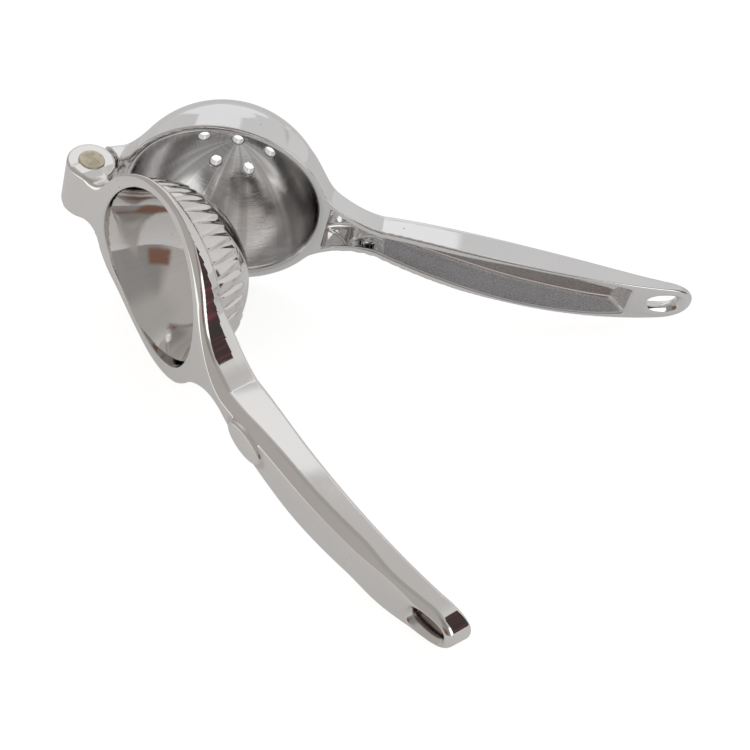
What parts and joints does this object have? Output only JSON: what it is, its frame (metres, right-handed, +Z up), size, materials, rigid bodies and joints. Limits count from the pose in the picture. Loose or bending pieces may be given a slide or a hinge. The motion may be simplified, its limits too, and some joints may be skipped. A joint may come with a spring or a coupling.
{
  "type": "citrus juicer",
  "caption": "Hand-held hinged citrus press: a perforated bowl holds cut fruit and a fluted dome on the other lever squeezes it, with channelled handles and oval hang holes.",
  "frame": {"origin": "middle of the footprint on the table, under the open press lying on its side", "axes": "+X along the bowl arm from the hinge to its tip, +Y the way the dome presses into the closed bowl, +Z up from the table, close to the hinge axis"},
  "size_m": [0.206, 0.1842, 0.0678],
  "materials": {
    "bowl_arm_chrome": "polished chrome plate over a zinc die casting",
    "dome_arm_chrome": "polished chrome plate over a zinc die casting",
    "pin_brass": "dull brass-coloured rivet"
  },
  "bodies": {
    "bowl_arm": {"cup_arm": "bowl_arm_chrome"},
    "dome_arm": {"press_arm": "dome_arm_chrome", "hinge_pin": "pin_brass"}
  },
  "joints": [
    {"name": "arm_hinge", "type": "hinge", "parent": "bowl_arm", "child": "dome_arm", "pos_m": [-0.0937, 0.05523, 0.04166], "axis": [0.1847, -0.0781, 0.9797], "range_deg": [-63.3, 46.7]}
  ]
}
